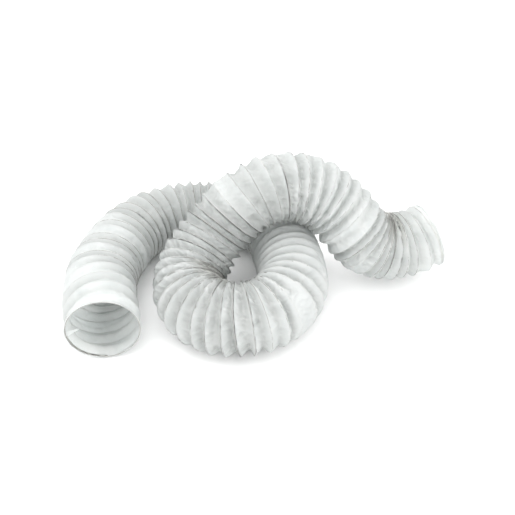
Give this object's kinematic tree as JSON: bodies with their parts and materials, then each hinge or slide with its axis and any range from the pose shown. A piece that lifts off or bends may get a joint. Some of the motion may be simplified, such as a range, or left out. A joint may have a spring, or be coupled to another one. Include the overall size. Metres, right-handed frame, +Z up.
{
  "type": "flexible air duct",
  "caption": "Flexible air duct of wire-supported plastic film, lying in a loop with both mouths open.",
  "frame": {"origin": "on the ground, under the middle of the bounding box of the duct as it lies", "axes": "+X along the longest extent, from the front mouth's side to the rear mouth's side; +Z up; the front mouth faces -Y"},
  "size_m": [0.5629, 0.3726, 0.2112],
  "materials": {
    "outer_film": "satin thin PVC film, creased",
    "inner_film": "satin thin PVC film, seen inside the mouths",
    "spring_steel": "drawn spring wire"
  },
  "bodies": {
    "middle": {"outer_ply_08": "outer_film", "outer_ply_09": "outer_film", "outer_ply_10": "outer_film", "outer_ply_11": "outer_film", "outer_ply_12": "outer_film", "outer_ply_13": "outer_film", "outer_ply_14": "outer_film", "outer_ply_15": "outer_film", "outer_ply_16": "outer_film", "outer_ply_17": "outer_film", "outer_ply_18": "outer_film", "outer_ply_19": "outer_film", "outer_ply_20": "outer_film", "outer_ply_21": "outer_film", "outer_ply_22": "outer_film", "outer_ply_23": "outer_film", "spring_wire_middle": "spring_steel", "inner_ply_middle": "inner_film"},
    "front_1": {"outer_ply_07": "outer_film", "spring_wire_07": "spring_steel", "inner_ply_07": "inner_film"},
    "front_2": {"outer_ply_06": "outer_film", "spring_wire_06": "spring_steel", "inner_ply_06": "inner_film"},
    "front_3": {"outer_ply_05": "outer_film", "spring_wire_05": "spring_steel", "inner_ply_05": "inner_film"},
    "front_4": {"outer_ply_04": "outer_film", "spring_wire_04": "spring_steel", "inner_ply_04": "inner_film"},
    "front_5": {"outer_ply_03": "outer_film", "spring_wire_03": "spring_steel", "inner_ply_03": "inner_film"},
    "front_6": {"outer_ply_02": "outer_film", "spring_wire_02": "spring_steel", "inner_ply_02": "inner_film"},
    "front_7": {"outer_ply_01": "outer_film", "spring_wire_01": "spring_steel", "inner_ply_01": "inner_film", "front_hem": "outer_film"},
    "rear_1": {"outer_ply_24": "outer_film", "spring_wire_24": "spring_steel", "inner_ply_24": "inner_film"},
    "rear_2": {"outer_ply_25": "outer_film", "spring_wire_25": "spring_steel", "inner_ply_25": "inner_film"},
    "rear_3": {"outer_ply_26": "outer_film", "spring_wire_26": "spring_steel", "inner_ply_26": "inner_film"},
    "rear_4": {"outer_ply_27": "outer_film", "spring_wire_27": "spring_steel", "inner_ply_27": "inner_film"},
    "rear_5": {"outer_ply_28": "outer_film", "spring_wire_28": "spring_steel", "inner_ply_28": "inner_film"},
    "rear_6": {"outer_ply_29": "outer_film", "spring_wire_29": "spring_steel", "inner_ply_29": "inner_film", "rear_hem": "outer_film"}
  },
  "joints": [
    {"name": "front_bend", "type": "hinge", "parent": "middle", "child": "front_1", "pos_m": [-0.12372, 0.12975, 0.052], "axis": [0, 0, -1], "range_deg": [-1.5, 9], "deforming": ["outer_ply_07", "inner_ply_07"]},
    {"name": "front_lift", "type": "hinge", "parent": "front_1", "child": "front_2", "pos_m": [-0.16708, 0.10974, 0.052], "axis": [-0.5731, 0.8195, 0], "range_deg": [0, 8], "deforming": ["outer_ply_06", "inner_ply_06"]},
    {"name": "front_bend_2", "type": "hinge", "parent": "front_2", "child": "front_3", "pos_m": [-0.19656, 0.08017, 0.052], "axis": [0, 0, -1], "range_deg": [-1.5, 9], "deforming": ["outer_ply_05", "inner_ply_05"]},
    {"name": "front_lift_2", "type": "hinge", "parent": "front_3", "child": "front_4", "pos_m": [-0.21395, 0.04427, 0.052], "axis": [-0.9445, 0.3286, 0], "range_deg": [0, 8], "deforming": ["outer_ply_04", "inner_ply_04"]},
    {"name": "front_bend_3", "type": "hinge", "parent": "front_4", "child": "front_5", "pos_m": [-0.22771, -0.00893, 0.052], "axis": [0, 0, -1], "range_deg": [-1.5, 9], "deforming": ["outer_ply_03", "inner_ply_03"]},
    {"name": "front_lift_3", "type": "hinge", "parent": "front_5", "child": "front_6", "pos_m": [-0.22982, -0.06269, 0.052], "axis": [-0.9931, -0.1169, 0], "range_deg": [0, 8], "deforming": ["outer_ply_02", "inner_ply_02"]},
    {"name": "front_bend_4", "type": "hinge", "parent": "front_6", "child": "front_7", "pos_m": [-0.22117, -0.10376, 0.052], "axis": [0, 0, -1], "range_deg": [-1.5, 9], "deforming": ["outer_ply_01", "inner_ply_01"]},
    {"name": "rear_stretch", "type": "slide", "parent": "middle", "child": "rear_1", "axis": [0.9617, 0.2661, 0.0663], "range_m": [0, 0.02], "deforming": ["outer_ply_24", "inner_ply_24"]},
    {"name": "rear_lift", "type": "hinge", "parent": "rear_1", "child": "rear_2", "pos_m": [0.06719, 0.03548, 0.15371], "axis": [0.0248, -0.9997, 0], "range_deg": [0, 8], "deforming": ["outer_ply_25", "inner_ply_25"]},
    {"name": "rear_lift_2", "type": "hinge", "parent": "rear_2", "child": "rear_3", "pos_m": [0.10646, 0.03175, 0.13273], "axis": [-0.2223, -0.975, 0], "range_deg": [0, 8], "deforming": ["outer_ply_26", "inner_ply_26"]},
    {"name": "rear_bend", "type": "hinge", "parent": "rear_3", "child": "rear_4", "pos_m": [0.13647, 0.022, 0.10077], "axis": [0.7073, -0.2405, 0.6648], "range_deg": [-6.5, 2.5], "deforming": ["outer_ply_27", "inner_ply_27"]},
    {"name": "rear_bend_2", "type": "hinge", "parent": "rear_4", "child": "rear_5", "pos_m": [0.16909, 0.01678, 0.07074], "axis": [0.4982, 0.0214, 0.8668], "range_deg": [-6.5, 2.5], "deforming": ["outer_ply_28", "inner_ply_28"]},
    {"name": "rear_stretch_2", "type": "slide", "parent": "rear_5", "child": "rear_6", "axis": [0.9677, 0.2512, 0.0224], "range_m": [0, 0.02], "deforming": ["outer_ply_29", "inner_ply_29"]}
  ],
  "couplings": [
    {"joint": "front_bend_2", "follows": "front_bend", "ratio": 1},
    {"joint": "front_lift_2", "follows": "front_lift", "ratio": 1},
    {"joint": "front_bend_3", "follows": "front_bend", "ratio": 1},
    {"joint": "front_lift_3", "follows": "front_lift", "ratio": 1},
    {"joint": "front_bend_4", "follows": "front_bend", "ratio": 1},
    {"joint": "rear_lift_2", "follows": "rear_lift", "ratio": 1},
    {"joint": "rear_bend_2", "follows": "rear_bend", "ratio": 1},
    {"joint": "rear_stretch_2", "follows": "rear_stretch", "ratio": 1}
  ]
}
